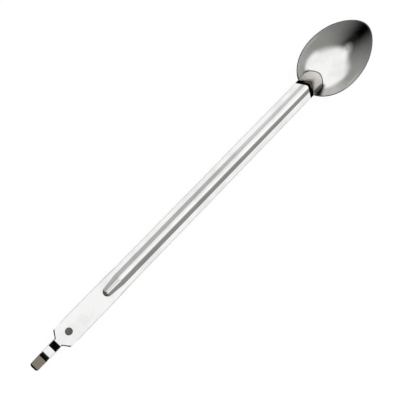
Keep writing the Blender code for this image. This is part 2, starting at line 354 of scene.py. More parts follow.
@dataclass(frozen=True)
class SeamShade:
    """The tongue's rounded outline on the bowl, with painted shade along it as a dark line.

    The line is narrow round the tongue's end. At the right side it lies a little further
    out and widens to a patch of painted shade. Runs along X are measured from where the
    end begins.
    """

    end_x: float
    reach: float
    half_width: float
    power: float
    half_line: float = 0.0004
    line_fade: tuple[float, float] = (0.6, 2.2)
    end_run: tuple[float, float] = (-0.0022, 0.0002)
    right_share: tuple[float, float] = (0.3, 0.6)
    shade_patch_rise: tuple[float, float] = (-0.0125, -0.0095)
    shade_patch_fall: tuple[float, float] = (-0.0010, 0.0045)
    shade_patch_shift: float = 0.07
    shade_patch_growth: float = 2.2
    # Grey of the painted shade line and patch.
    tone: float = 0.10

    def share(self, x: Signal, y: Signal) -> Signal:
        """Darkness of the painted shade line, from the distance off a superellipse in line widths.

        Args:
            x: place along the spoon.
            y: place across it.

        Returns:
            1 on the line, 0 off it.
        """
        ahead = x - self.end_x
        along = (ahead / self.reach).at_least(0.0)
        across = y / self.half_width
        ring = (along ** self.power + abs(across) ** self.power) ** (1.0 / self.power) - 1.0
        right = (across * -1.0).eased(*self.right_share)
        # The patch of painted shade beside the tongue's right side.
        smudge = right * ahead.faded(*self.shade_patch_fall)
        off = abs(ring + smudge * self.shade_patch_shift) * (self.reach / self.half_line)
        line = (off / (1.0 + smudge * self.shade_patch_growth)).faded(*self.line_fade)
        return line * ahead.eased(*self.end_run).at_least(right * ahead.eased(*self.shade_patch_rise))


@dataclass(frozen=True)
class SteelFinish:
    """Polished stainless steel with fine lines and soft haze, dull where the tongue was welded.

    The strip's fold and the sheet's edges are painted dark, a painted shade and reflection,
    and a painted shade line follows the tongue's outline. Scales of the patterns are counts
    of features in a metre along X, Y and Z.
    """

    name: str
    tone: tuple[float, float, float]
    roughness: float
    grain: Grain
    line_depth: float
    haze: float
    seam: SeamShade | None = None
    crease_shade: ArrowLine | None = None
    dull: ArrowLine | None = None
    cloud_scale: tuple[float, float, float] = (45.0, 60.0, 60.0)
    smudge_scale: tuple[float, float, float] = (160.0, 220.0, 220.0)
    line_haze: float = 0.05
    smudge_share: float = 0.5
    least_roughness: float = 0.04
    worn_tone: float = 0.9
    worn_clouds: tuple[float, float] = (0.3, 0.6)
    edge_shade_tone: float = 0.03
    dull_tone: tuple[float, float, float, float] = (0.68, 0.655, 0.605, 1.0)
    dull_haze: float = 0.28
    dull_matt: float = 0.75

    def shade(self, share: float) -> tuple[float, ...]:
        """The finish's tone scaled by a share, as a colour."""
        return tuple(share * part for part in self.tone) + (1.0,)

    def material(self) -> bpy.types.Material:
        """Make the finish as a node material.

        Returns:
            A metallic Principled material whose colour, roughness and normal vary.
        """
        material = bpy.data.materials.new(self.name)
        graph = Graph(material)
        place = graph.node("ShaderNodeTexCoord", None, None, "Object")
        x, y, _ = graph.axes(place)
        line_scale = tuple(1.0 / run for run in self.grain.value)
        lines = graph.noise(graph.scaled(place, line_scale), detail=3.0, roughness=0.6)
        clouds = graph.noise(graph.scaled(place, self.cloud_scale), detail=3.0, roughness=0.5)
        smudge = graph.noise(graph.scaled(place, self.smudge_scale), detail=4.0, roughness=0.6)
        haze = (clouds - 0.5) * self.haze + (smudge - 0.5) * (self.haze * self.smudge_share)
        rough = self.roughness + (lines - 0.5) * self.line_haze + haze
        metallic: Signal | float = 1.0
        edge = graph.node("ShaderNodeAttribute", {"attribute_name": "edge"}, None, "Fac")
        worn, fresh = self.shade(self.worn_tone), self.shade(1.0)
        colour = graph.blend(clouds.eased(*self.worn_clouds), worn, fresh)
        # Painted shade: the edges are darkened by the edge attribute, a painted dark reflection.
        colour = graph.blend(edge, colour, self.shade(self.edge_shade_tone))
        # Painted shade and reflection: a black band painted along the fold.
        if self.crease_shade is not None:
            colour = graph.blend(self.crease_shade.share(x, y), colour, grey(0.0))
        if self.dull is not None:
            worked = self.dull.share(x, y)
            colour = graph.blend(worked, colour, self.dull_tone)
            rough = rough + worked * self.dull_haze
            metallic = 1.0 - worked * self.dull_matt
        # Painted shade: a dark line round the tongue's outline, on both bowl and strip.
        if self.seam is not None:
            colour = graph.blend(self.seam.share(x, y), colour, grey(self.seam.tone))
        bump = graph.node("ShaderNodeBump", None,
                          {"Strength": 1.0, "Distance": self.line_depth, "Height": lines})
        shader = graph.node("ShaderNodeBsdfPrincipled", None, {
            "Base Color": colour, "Metallic": metallic, "Normal": bump,
            "Roughness": rough.at_least(self.least_roughness)})
        graph.node("ShaderNodeOutputMaterial", None, {"Surface": shader})
        return material


@dataclass
class SpotWelds:
    """Places of the three welds and the shallow marks that the electrodes leave."""

    front_reach: float = 0.0190
    side_reach: float = 0.0118
    side_spread: float = 0.0084
    mark_radius: float = 0.0026
    mark_depth: float = 0.00022
    mark_end: float = 1.15
    mark_ease: float = 0.4

    def places(self, rear_x: float) -> tuple[tuple[float, float], ...]:
        """Where the welds are, as (x, y), for a bowl whose rear edge is at rear_x."""
        side_x, spread = rear_x + self.side_reach, self.side_spread
        return ((rear_x + self.front_reach, 0.0), (side_x, spread), (side_x, -spread))

    def marks(self, x: Array, y: Array, rear_x: float) -> Array:
        """Depth of the marks: a level floor with eased walls round each weld.

        Args:
            x: places along the spoon.
            y: places across it.
            rear_x: X of the bowl's rear edge.

        Returns:
            The depth at each place, 0 away from the marks.
        """
        depth = np.zeros(np.broadcast(x, y).shape)
        for weld_x, weld_y in self.places(rear_x):
            away = np.hypot(x - weld_x, y - weld_y) / self.mark_radius
            mark = self.mark_depth * smooth_step((self.mark_end - away) / self.mark_ease)
            depth = np.maximum(depth, mark)
        return depth


@dataclass
class Bowl:
    """The pressed bowl: two half ellipses in plan, a power curve in section.

    The fields from sectors on only lay out the mesh.
    """

    rear_x: float
    tip_x: float
    width: float
    height: float
    welds: SpotWelds
    rear_reach: float = 0.0456
    wall: float = 0.0014
    flat_share: float = 0.14
    curve_power: float = 2.2
    tip_nip_share: float = 0.14
    tip_nip_power: float = 2.5
    middle_blend: float = 0.35
    rim_radius: float = 0.0003
    rim_undercut: float = math.radians(40)
    bevel_turn: float = math.radians(40)
    bevel: float = 0.0008
    inner_break: float = 0.0004
    land_step: float = 0.000015
    lip_drop: float = 0.0002
    lip_power: float = 14.0
    settle_start: float = 0.72
    side_shade: float = 0.72
    rear_shade_lead: float = 0.009
    rear_shade_run: float = 0.014
    sectors: int = 300
    skin_rings: int = 76
    rim_rings: int = 12
    land_rings: int = 3
    inner_edge_rings: int = 4

    @property
    def centre_x(self) -> float:
        """X of the widest place."""
        return self.rear_x + self.rear_reach

    def depth(self, rho: Array, full: float) -> Array:
        """Depth below the rim: full in the level middle, then a power curve up to the rim."""
        climb = np.maximum(rho - self.flat_share, 0.0) / (1.0 - self.flat_share)
        return full * (1.0 - climb ** self.curve_power)

    def ring(self, rho: Array, inset: Array, height: Array) -> Array:
        """Rings of the bowl in plan, at given heights.

        The outline is an ellipse whose reach changes smoothly from the rear one to the front
        one round the widest place, and whose width nips in towards the tip.

        Args:
            rho: share of the outline, one value a ring.
            inset: distance that the outline is drawn in, one value a ring.
            height: z, one value a ring.

        Returns:
            Points with shape (rings, sectors, 3).
        """
        angle = np.arange(self.sectors) * math.tau / self.sectors
        rho, inset, height = (np.asarray(part, float)[:, None] for part in (rho, inset, height))
        ahead = np.cos(angle)
        front_reach = self.tip_x - self.centre_x
        lean = smooth_step((ahead + self.middle_blend) / (2.0 * self.middle_blend))
        reach = self.rear_reach + (front_reach - self.rear_reach) * lean
        nip = 1.0 - self.tip_nip_share * np.maximum(ahead, 0.0) ** self.tip_nip_power
        x = self.centre_x + rho * (reach - inset) * ahead
        y = rho * (self.width / 2 - inset) * np.sin(angle) * nip
        return np.stack([x, y, np.broadcast_to(height, x.shape)], axis=-1)

    def rear_wall(self, x: Array, y: Array) -> tuple[Array, Array, Array]:
        """Inner face behind the widest place, where rings are ellipses of one shape.

        The slopes are the depth's rate along rho times rho's own slopes.

        Args:
            x: places along the spoon.
            y: places across it.

        Returns:
            Depth below the rim, and the height's slope along X and along Y.
        """
        reach = self.rear_reach - self.wall
        half = self.width / 2 - self.wall
        along = (x - self.centre_x) / reach
        across = y / half
        rho = np.maximum(np.hypot(along, across), self.flat_share)
        bottom = self.height - self.wall
        climb = (rho - self.flat_share) / (1.0 - self.flat_share)
        rate = bottom * self.curve_power / (1.0 - self.flat_share)
        steep = rate * climb ** (self.curve_power - 1.0) / rho
        return self.depth(rho, bottom), steep * along / reach, steep * across / half

    def outer_rings(self) -> Array:
        """Outer skin from the middle up to the rim's rounding.

        Its last stretch drops a little below the pressed curve, so that it meets the
        rim without a corner.

        Returns:
            Points with shape (rings, sectors, 3).
        """
        share = np.linspace(0.0, 1.0, self.skin_rings + 1)[1:]
        top_out = self.rim_radius * (1.0 - math.cos(self.rim_undercut))
        top_drop = self.rim_radius * (1.0 + math.sin(self.rim_undercut))
        top_drop += self.bevel * math.cos(self.bevel_turn)
        settle = smooth_step((share - self.settle_start) / (1.0 - self.settle_start))
        height = self.height - self.depth(share, self.height) - top_drop * settle
        rings = self.ring(share, top_out * settle, np.maximum(height, 0.0))
        rings[..., 2] += self.welds.marks(rings[..., 0], rings[..., 1], self.rear_x)
        return rings

    def rim_loops(self) -> Array:
        """Outer edge of the rim, rounded below and above a bevel, and the level land inside it.

        The rounding is an arc in two parts, moved apart along the bevel.

        Returns:
            Points with shape (rings, sectors, 3), from the outer skin inwards.
        """
        turn = np.linspace(-self.rim_undercut, math.pi / 2, self.rim_rings + 1)[1:]
        past = turn > self.bevel_turn
        bevel_in = self.bevel * math.sin(self.bevel_turn)
        bevel_down = self.bevel * math.cos(self.bevel_turn)
        inset = self.rim_radius * (1.0 - np.cos(turn)) + bevel_in * past
        down = self.rim_radius * (1.0 - np.sin(turn)) + bevel_down * ~past
        inner = self.wall - self.inner_break
        land = np.linspace(inset[-1] + self.land_step, inner, self.land_rings)
        outer = self.ring(np.ones(self.rim_rings), inset, self.height - down)
        level = self.ring(np.ones(self.land_rings), land, np.full(self.land_rings, self.height))
        return np.concatenate([outer, level])

    def inner_rings(self) -> Array:
        """Inner skin from the rim back to the middle.

        A high power of the share takes a little off its height at the rim, so that the
        wall stays under 45 degrees there and doesn't reflect itself.

        Returns:
            Points with shape (rings, sectors, 3).
        """
        share = np.linspace(1.0, 0.0, self.skin_rings + 1)[:-1]
        pressed = self.height - self.depth(share, self.height - self.wall)
        height = pressed - self.lip_drop * share ** self.lip_power
        return self.ring(share, np.full(share.size, self.wall), height)

    def eased_edge(self, land: Array, corner: Array, wall: Array) -> Array:
        """Loops that round the rim's inner corner: a parabola from the land to the wall."""
        share = np.linspace(0.0, 1.0, self.inner_edge_rings + 2)[1:-1, None, None]
        return (1 - share) ** 2 * land + 2 * share * (1 - share) * corner + share ** 2 * wall

    def ground(self, rings: Array, is_rim: bool) -> Array:
        """Share of painted edge shade, which is the rim's alone and grows towards its rear.

        Args:
            rings: points of the shell.
            is_rim: whether they are the rim's.

        Returns:
            The share at each point, 0 off the rim.
        """
        behind = self.centre_x - self.rear_shade_lead - rings[..., 0]
        rear = smooth_step(behind / self.rear_shade_run)
        return (self.side_shade + (1.0 - self.side_shade) * rear) * is_rim

    def build(self, material: bpy.types.Material) -> bpy.types.Object:
        """Join outer skin, rim and inner skin into one closed surface of rings.

        Args:
            material: the bowl's finish.

        Returns:
            The bowl's object.
        """
        inner = self.inner_rings()
        rim = self.rim_loops()
        rings = [self.outer_rings(), rim, self.eased_edge(rim[-1], inner[0], inner[1]), inner[1:]]
        # Painted shade on the rim's edge, darker towards the rear.
        ground = [self.ground(part, part is rim) for part in rings]
        skin = Skin()
        loops = skin.add(np.concatenate(rings), np.concatenate(ground))
        skin.band(loops)
        low = skin.add(np.array([[self.centre_x, 0.0, 0.0]]))
        high = skin.add(np.array([[self.centre_x, 0.0, self.wall]]))
        skin.fan(loops[0][::-1], int(low[0]))
        skin.fan(loops[-1], int(high[0]))
        return skin.finish("bowl_shell", material)


@dataclass
class Hook:
    """The bent tail as a chain of arcs and straights, each with its run along X."""

    width: float = 0.0113
    step_run: float = 0.0090
    seat_run: float = 0.0080
    curl_run: float = 0.0073
    leg_run: float = 0.0125
    tip_run: float = 0.0030
    outer_radius: float = 0.0030
    inner_radius: float = 0.0012
    step_angle: float = math.radians(23)
    tip_angle: float = math.radians(16)
    corner_run: float = 0.0026
    corner_width: float = 0.0039
    steepest: float = math.radians(89)
    halvings: int = 48

    @property
    def run(self) -> float:
        """Whole run of the hook along X."""
        return self.step_run + self.seat_run + self.curl_run + self.leg_run + self.tip_run

    def sections(self, leg_angle: float) -> list[tuple[float, float, float]]:
        """Run, first angle and last angle of each section, from the handle to the tip.

        Args:
            leg_angle: slope of the leg.

        Returns:
            The step with its two rounded bends, the seat, the curl, the leg and the tip.
        """
        outer = self.outer_radius * math.sin(self.step_angle)
        inner = self.inner_radius * math.sin(self.step_angle)
        return [
            (outer, 0.0, self.step_angle),
            (self.step_run - outer - inner, self.step_angle, self.step_angle),
            (inner, self.step_angle, 0.0),
            (self.seat_run, 0.0, 0.0),
            (self.curl_run, 0.0, leg_angle),
            (self.leg_run, leg_angle, leg_angle),
            (self.tip_run, leg_angle, leg_angle + self.tip_angle),
        ]

    def section_drop(self, away: Array, run: float, first: float, last: float) -> Array:
        """Drop inside one section: R(cos a0 - cos a) on an arc, distance times tan a on a straight.

        Args:
            away: distances along X from the section's start.
            run: the section's length along X.
            first: its slope at the start.
            last: its slope at the end.

        Returns:
            The drop at each distance.
        """
        if first == last:
            return away * math.tan(first)
        radius = run / (math.sin(last) - math.sin(first))
        swing = np.arcsin(math.sin(first) + away / radius)
        return radius * (math.cos(first) - np.cos(swing))

    def drop(self, away: Array, leg_angle: float) -> Array:
        """Drop below the handle's top face, the sum of the drops of all sections passed.

        Args:
            away: distances along X from the handle's end towards the tip.
            leg_angle: slope of the leg.

        Returns:
            The drop at each distance.
        """
        total = np.zeros(np.shape(away))
        start = 0.0
        for run, first, last in self.sections(leg_angle):
            total = total + self.section_drop(np.clip(away - start, 0.0, run), run, first, last)
            start += run
        return total

    def leg_angle(self, top_z: float, sheet: float) -> float:
        """Slope of the leg that brings the tip down to the resting surface, found by halving.

        Args:
            top_z: height of the handle's top face.
            sheet: thickness of the strip.

        Returns:
            The slope.
        """
        low, high = 0.0, self.steepest - abs(self.tip_angle)
        for _ in range(self.halvings):
            middle = (low + high) / 2
            reach = float(self.drop(np.array(self.run), middle))
            reach += sheet * math.cos(middle + self.tip_angle)
            low, high = (middle, high) if reach < top_z else (low, middle)
        return (low + high) / 2


@dataclass
class Rib:
    """The stiffening rib: its noses, widths and heights."""

    tail_x: float
    bowl_x: float
    tail_nose: float = 0.0046
    tail_width: float = 0.0099
    tail_height: float = 0.0030
    ramp: float = 0.0245
    full_width: float = 0.0153
    full_height: float = 0.0050
    neck_width: float = 0.0125
    neck_height: float = 0.0034
    bowl_nose: float = 0.0066
    flank_power: float = 1.6
    fillet_share: float = 0.12

    def tapered(self, x: Array, tail: float, full: float, neck: float) -> Array:
        """A size along the rib: a quick even ramp at the tail, then a slow taper to the neck.

        Args:
            x: places along the spoon.
            tail: the size at the tail's nose.
            full: the size that the ramp leads to.
            neck: the size at the neck.

        Returns:
            The size at each place.
        """
        size = full + (neck - full) * (x - self.tail_x) / (self.bowl_x - self.tail_x)
        return tail + (size - tail) * np.clip((x - self.tail_x) / self.ramp, 0.0, 1.0)

    def half_width(self, x: Array) -> Array:
        """Half of the rib's width at places along the spoon."""
        return self.tapered(x, self.tail_width, self.full_width, self.neck_width) / 2

    def height(self, x: Array, y: Array) -> Array:
        """Height of the rib: the crest's height times its section.

        The section is 1 less a power of the share of the half width, less the squares of
        the shares of the two noses. A small parabola rounds its foot.

        Args:
            x: places along the spoon.
            y: places across it.

        Returns:
            The height at each place, 0 off the rib.
        """
        crest = self.tapered(x, self.tail_height, self.full_height, self.neck_height)
        tail = np.maximum(1.0 - (x - self.tail_x) / self.tail_nose, 0.0)
        bowl = np.maximum(1.0 - (self.bowl_x - x) / self.bowl_nose, 0.0)
        flank = np.abs(y / self.half_width(x)) ** self.flank_power
        body = 1.0 - flank - tail ** 2 - bowl ** 2
        fillet = self.fillet_share
        soft = (body + fillet) ** 2 / (4.0 * fillet)
        return crest * np.where(body > fillet, body, np.where(body > -fillet, soft, 0.0))


@dataclass
class Handle:
    """The stamped strip: hook, flat end with its hole, ribbed handle, fold and tongue.

    The painted shade along the fold and the dull patch start and ease in by shares of the
    fold's run. The fields from slope_step_x on only lay out the mesh.
    """

    tail_x: float
    tongue_x: float
    bowl: Bowl
    hook: Hook
    sheet: float = 0.0018
    gap: float = 0.0003
    end_width: float = 0.0269
    neck_width: float = 0.0240
    draw_in: float = 0.0014
    neck_flare_run: float = 0.0160
    shoulder_run: float = 0.0058
    shoulder_setback: float = 0.0012
    shoulder_ease: float = 0.3
    hole_diameter: float = 0.0085
    hole_setback: float = 0.0179
    rib_setback: float = 0.0564
    rib_bowl_reach: float = 0.0123
    rim_clearance: float = 0.00405
    fold_reach: float = 0.0062
    fold_run: float = 0.0070
    fold_sweep: float = 0.68
    fold_point: float = 0.0015
    crease_lead_share: float = 0.16
    crease_ease_share: float = 0.12
    dull_start_share: float = 0.84
    dull_ease_share: float = 0.10
    dull_sweep: float = 0.89
    tongue_end_run: float = 0.0090
    tongue_power: float = 1.5
    tongue_blunt: float = math.radians(8)
    edge_radius: float = 0.00038
    shoulder_edge_radius: float = 0.00085
    edge_hold: float = 0.00008
    shoulder_band: float = 0.78
    shoulder_fade: float = 0.2
    slope_step_x: float = 0.0011
    slope_step_y: float = 0.0003
    seat_ease: float = 0.0012
    nose_lead: float = 0.002
    least_row: float = 0.00002
    row_margin: float = 0.0003
    edge_steps: int = 7
    rib_reach: float = 1.22
    side_start: float = 0.86
    rib_columns: int = 20
    side_columns: int = 5
    corner_rows: int = 11
    end_rows: int = 21
    edge_shade_columns: int = 3
    hole_patch: float = 0.0075
    hole_rings: int = 8

    def __post_init__(self) -> None:
        """Work out the places that follow from the sizes."""
        self.top_z = self.bowl.height + self.rim_clearance + self.sheet
        self.leg_angle = self.hook.leg_angle(self.top_z, self.sheet)
        self.bend_x = self.tail_x + self.hook.run
        self.shoulder_x = self.bend_x + self.shoulder_setback
        self.shoulder_end_x = self.shoulder_x + self.shoulder_run
        self.hole_x = self.bend_x + self.hole_setback
        self.rib = Rib(self.hole_x + self.rib_setback, self.bowl.rear_x + self.rib_bowl_reach)
        self.limit_x = self.tongue_x + self.tongue_end_run * (1.0 - math.cos(self.tongue_blunt))
        fold_x, run = self.bowl.rear_x + self.fold_reach, self.fold_run
        crease_x = fold_x - self.crease_lead_share * run
        dull_x = fold_x + self.dull_start_share * run
        sweep, point = self.fold_sweep, self.fold_point
        self.fold = ArrowLine(fold_x, run, sweep, point)
        # Band of painted shade along the fold, up to where the dull patch covers it.
        self.crease_shade = ArrowLine(crease_x, self.crease_ease_share * run, sweep, point)
        self.dull = ArrowLine(dull_x, self.dull_ease_share * run, self.dull_sweep, point)
        self.end_x = self.limit_x - self.tongue_end_run
        # Where the painted shade line round the tongue's outline lies.
        self.seam = SeamShade(self.end_x, self.tongue_end_run, self.neck_width / 2, self.tongue_power)

    def half_width(self, x: Array) -> Array:
        """Half width of the blank, from the hook's rounded end to the tongue's.

        The strip tapers evenly, is drawn in a little along the rib, and narrows over the
        shoulders to the hook. The hook's end is rounded by quarter circles, squeezed in
        width, and the tongue's is half a superellipse.

        Args:
            x: places along the spoon.

        Returns:
            The half width at each place.
        """
        rear_x = self.bowl.rear_x
        blank = self.end_width + (self.neck_width - self.end_width) * np.clip(
            (x - self.shoulder_end_x) / (rear_x - self.shoulder_end_x), 0.0, 1.0)
        ribbed = smooth_step((x - self.rib.tail_x) / self.rib.ramp)
        ribbed = ribbed * smooth_step((rear_x - x) / self.neck_flare_run)
        ramp = np.clip((x - self.shoulder_x) / self.shoulder_run, 0.0, 1.0)
        shoulder = ramp + (smooth_step(ramp) - ramp) * self.shoulder_ease
        strip = self.hook.width + (blank - self.draw_in * ribbed - self.hook.width) * shoulder
        corner = np.clip(1.0 - (x - self.tail_x) / self.hook.corner_run, 0.0, 1.0)
        strip = strip / 2 - self.hook.corner_width * (1.0 - np.sqrt(1.0 - corner ** 2))
        end = np.clip(1.0 - (self.limit_x - x) / self.tongue_end_run, 0.0, 1.0)
        return strip * (1.0 - end ** self.tongue_power) ** (1.0 / self.tongue_power)

    def top(self, x: Array, y: Array) -> Array:
        """Height of the upper face.

        Towards the tail it follows the hook's line. Elsewhere it is the handle's level,
        folded down behind the rim onto the bowl's rear wall, with the rib added and the
        electrode marks taken off.

        Args:
            x: places along the spoon.
            y: places across it.

        Returns:
            The height at each place.
        """
        depth, slope_x, slope_y = self.bowl.rear_wall(x, y)
        lift = (self.gap + self.sheet) * np.sqrt(1.0 + slope_x ** 2 + slope_y ** 2)
        tongue = self.bowl.height - depth + lift
        fold = smooth_step((x - self.fold.start(y)) / self.fold_run)
        strip = self.top_z + (tongue - self.top_z) * fold + self.rib.height(x, y)
        strip = strip - self.bowl.welds.marks(x, y, self.bowl.rear_x)
        return strip - self.hook.drop(np.maximum(self.bend_x - x, 0.0), self.leg_angle)

    def normal(self, x: Array, y: Array) -> Array:
        """Unit normal of the upper face, from differences wide enough to calm tight bends.

        Args:
            x: places along the spoon.
            y: places across it.

        Returns:
            One vector for each place.
        """
        after = np.minimum(x + self.slope_step_x, self.tongue_x)
        before = np.maximum(x - self.slope_step_x, self.tail_x)
        right, left = y - self.slope_step_y, y + self.slope_step_y
        slope_x = (self.top(after, y) - self.top(before, y)) / (after - before)
        slope_y = (self.top(x, left) - self.top(x, right)) / (2 * self.slope_step_y)
        return unit(np.stack([-slope_x, -slope_y, np.ones(slope_x.shape)], axis=-1))

    def stations(self) -> Array:
        """X of each row, close together where the strip bends.

        Returns:
            The stations from the hook's end to the tongue's, both ends spaced like a circle.
        """
        hook, rib = self.hook, self.rib
        seat_x = self.bend_x - hook.step_run
        curl_x = seat_x - hook.seat_run
        leg_x = curl_x - hook.curl_run
        tip_x = leg_x - hook.leg_run
        fold_x = float(self.fold.start(self.neck_width / 2)) - self.row_margin
        neck_x = self.bowl.rear_x - self.neck_flare_run
        body = spans(
            self.tail_x + hook.corner_run,
            (tip_x, 6), (leg_x, 16), (curl_x, 30),
            (seat_x - hook.inner_radius, 10), (seat_x + self.seat_ease, 16),
            (self.bend_x - hook.outer_radius, 8), (self.bend_x, 20), (self.shoulder_end_x, 26),
            (self.hole_x - self.hole_patch, 3), (self.hole_x + self.hole_patch, 14),
            (rib.tail_x - self.nose_lead, 22), (rib.tail_x + rib.tail_nose, 26),
            (rib.tail_x + rib.ramp, 26), (neck_x, 96), (fold_x, 26), (self.end_x, 60))
        corner = np.linspace(0.0, math.pi / 2, self.corner_rows + 1)[:-1]
        swing = np.linspace(math.pi / 2, self.tongue_blunt, self.end_rows + 1)[1:]
        start = self.tail_x + hook.corner_run * (1.0 - np.cos(corner))
        end = self.limit_x - self.tongue_end_run * (1.0 - np.cos(swing))
        return np.concatenate([start, body, end])

    def at_shoulder(self, x: Array) -> Array:
        """1 along the shoulders, where the edge is ground rounder and carries painted shade, and 0
        elsewhere.
        """
        away = np.abs(x - self.shoulder_x - self.shoulder_run / 2) / self.shoulder_run
        return smooth_step((self.shoulder_band - away) / self.shoulder_fade)

    def edge_rounding(self, x: Array) -> Array:
        """Radius of the sheet's edge."""
        gain = self.shoulder_edge_radius - self.edge_radius
        return self.edge_radius + gain * self.at_shoulder(x)

    def inset_outline(self, x: Array) -> tuple[Array, Array]:
        """Stations and half widths of the outline, moved in square to it by the edge's rounding.

        The step along X shrinks with the cosine of the strip's fall there, because the
        rounding is measured along the surface. Where the shoulders end, the two stretches
        of the moved outline cross, and each station keeps the narrower one. Stations that
        come too close together are left out.

        Args:
            x: stations of the outline.

        Returns:
            The moved stations and their half widths.
        """
        small = 1e-6
        slope = (self.half_width(x + small) - self.half_width(x - small)) / (2 * small)
        fall = (self.top(x + small, 0.0 * x) - self.top(x - small, 0.0 * x)) / (2 * small)
        length = np.sqrt(1.0 + slope ** 2)
        inset = self.edge_rounding(x) + self.edge_hold
        moved = x + inset * slope / length / np.sqrt(1.0 + fall ** 2)
        half = self.half_width(x) - inset / length
        near = x <= self.shoulder_end_x
        tail, body = (np.maximum.accumulate(moved[part]) for part in (near, ~near))
        rows = np.sort(np.concatenate([tail, body]))
        rows = rows[np.diff(rows, prepend=-np.inf) > self.least_row]
        before = np.interp(rows, tail, half[near], right=np.inf)
        after = np.where(rows < body[0], np.inf, np.interp(rows, body, half[~near]))
        return rows, np.minimum(before, after)

    def columns(self, x: Array, half: Array) -> Array:
        """Places across each row: even steps from the middle to just past the rib, and on.

        Where there is no rib, the first steps reach most of the way to the edge.

        Args:
            x: station of each row.
            half: half width of each row.

        Returns:
            Offsets with shape (rows, columns), from the right edge to the left.
        """
        rib = self.rib
        wide = half * self.side_start
        narrow = np.minimum(rib.half_width(x) * self.rib_reach, wide)
        before = smooth_step((rib.tail_x - rib.tail_nose - x) / rib.tail_nose)
        after = smooth_step((x - rib.bowl_x) / (self.end_x - rib.bowl_x))
        inner = (narrow + (wide - narrow) * np.maximum(before, after))[:, None]
        share = np.linspace(0.0, 1.0, self.rib_columns + 1)
        outer = np.linspace(0.0, 1.0, self.side_columns + 1)[1:]
        side = np.concatenate([inner * share, inner + (half[:, None] - inner) * outer], axis=1)
        return np.concatenate([-side[:, :0:-1], side], axis=1)

    def edge_section(self, radius: Array | float) -> tuple[Array, Array]:
        """The sheet's edge as a short level step, a quarter round, and their mirror below.

        The round goes out by the sine of its turn and down by 1 less the cosine.

        Args:
            radius: one radius, or one for each point of the outline.

        Returns:
            Steps outward and steps down, with shape (steps, points, 1).
        """
        turn = np.linspace(0.0, math.pi / 2, self.edge_steps + 1)[:, None, None]
        radius = np.reshape(radius, (-1, 1))
        out = self.edge_hold + radius * np.sin(turn)
        down = radius * (1.0 - np.cos(turn))
        return np.concatenate([out, out[::-1]]), np.concatenate([down, self.sheet - down[::-1]])

    def build(self, material: bpy.types.Material) -> bpy.types.Object:
        """Make the strip as two offset grids joined by a rounded edge, with the hang hole.

        Args:
            material: the strip's finish.

        Returns:
            The strip's object.
        """
        x, half = self.inset_outline(self.stations())
        across = self.columns(x, half)
        along = np.broadcast_to(x[:, None], across.shape)
        upper = np.stack([along, across, self.top(along, across)], axis=-1)
        normal = self.normal(along, across)
        # Painted shade on the outer columns along the shoulders.
        ground = np.zeros(across.shape)
        ground[:, :self.edge_shade_columns] = self.at_shoulder(x)[:, None]
        skin = Skin()
        top = skin.add(upper, np.maximum(ground, ground[:, ::-1]))
        bottom = skin.add(upper - self.sheet * normal)
        near = self.hole_patch + self.row_margin
        rows = np.flatnonzero(np.abs(x - self.hole_x) < near)
        columns = np.flatnonzero(np.abs(across[rows[0]]) < near)
        keep = np.ones((top.shape[0] - 1, top.shape[1] - 1), bool)
        keep[rows[0]:rows[-1], columns[0]:columns[-1]] = False
        skin.cells(top, keep)
        skin.cells(bottom[:, ::-1], keep[:, ::-1])
        self.round_edge(skin, upper, normal, top, bottom)
        patch = np.ix_(rows, columns)
        self.cut_hole(skin, upper[patch], top[patch], bottom[patch])
        return skin.finish("handle_strip", material)

    def round_edge(self, skin: Skin, upper: Array, normal: Array,
                   top: Array, bottom: Array) -> None:
        """Join the two faces round the outline.

        Args:
            skin: surface that the edge is added to.
            upper: points of the upper face.
            normal: unit normals of the upper face.
            top: point indices of the upper face.
            bottom: point indices of the lower face.
        """
        order = border_of(np.arange(top.size).reshape(top.shape))
        border = upper.reshape(-1, 3)[order]
        facing = normal.reshape(-1, 3)[order]
        tangent = unit(np.roll(border, -1, axis=0) - np.roll(border, 1, axis=0))
        outward = unit(np.cross(tangent, facing))
        out, down = self.edge_section(self.edge_rounding(border[:, 0]))
        # The rounded edge carries painted shade along the shoulders.
        rings = skin.add(border + out * outward - down * facing, self.at_shoulder(border[:, 0]))
        loops = np.concatenate([top.ravel()[order][None], rings, bottom.ravel()[order][None]])
        skin.band(loops[::-1])

    def cut_hole(self, skin: Skin, patch: Array, top: Array, bottom: Array) -> None:
        """Fill the patch round the hang hole with rings.

        They are straight blends of the patch's border and the hole's circle, followed by
        the hole's rounded wall and the same rings below.

        Args:
            skin: surface that the rings are added to.
            patch: points of the upper face in the patch.
            top: point indices of the upper face in the patch.
            bottom: point indices of the lower face in the patch.
        """
        order = border_of(np.arange(top.size).reshape(top.shape))
        border = patch.reshape(-1, 3)[order]
        angle = np.arctan2(border[:, 1], border[:, 0] - self.hole_x)
        rim = np.stack([np.cos(angle), np.sin(angle), np.zeros(angle.size)], axis=-1)
        centre = np.array([self.hole_x, 0.0, self.top_z])
        out, down = self.edge_section(self.edge_radius)
        radius = self.hole_diameter / 2 + self.edge_radius + self.edge_hold - out
        wall = centre + radius * rim - down * np.array([0.0, 0.0, 1.0])
        share = np.linspace(0.0, 1.0, self.hole_rings + 1)[1:-1, None, None]
        plate = border + (wall[0] - border) * share
        below = plate[::-1] - np.array([0.0, 0.0, self.sheet])
        rings = skin.add(np.concatenate([plate, wall, below]))
        skin.band(np.concatenate([top.ravel()[order][None], rings, bottom.ravel()[order][None]]))


class LampShape(Enum):
    """Outline of a lamp's glowing face, with the share of its bounding box that glows."""

    RECTANGLE = 1.0
    ELLIPSE = math.pi / 4


class LampFacing(Enum):
    """Which way a lamp faces, as its turn about X."""

    DOWN = 0.0
    RIGHT = math.radians(-90)


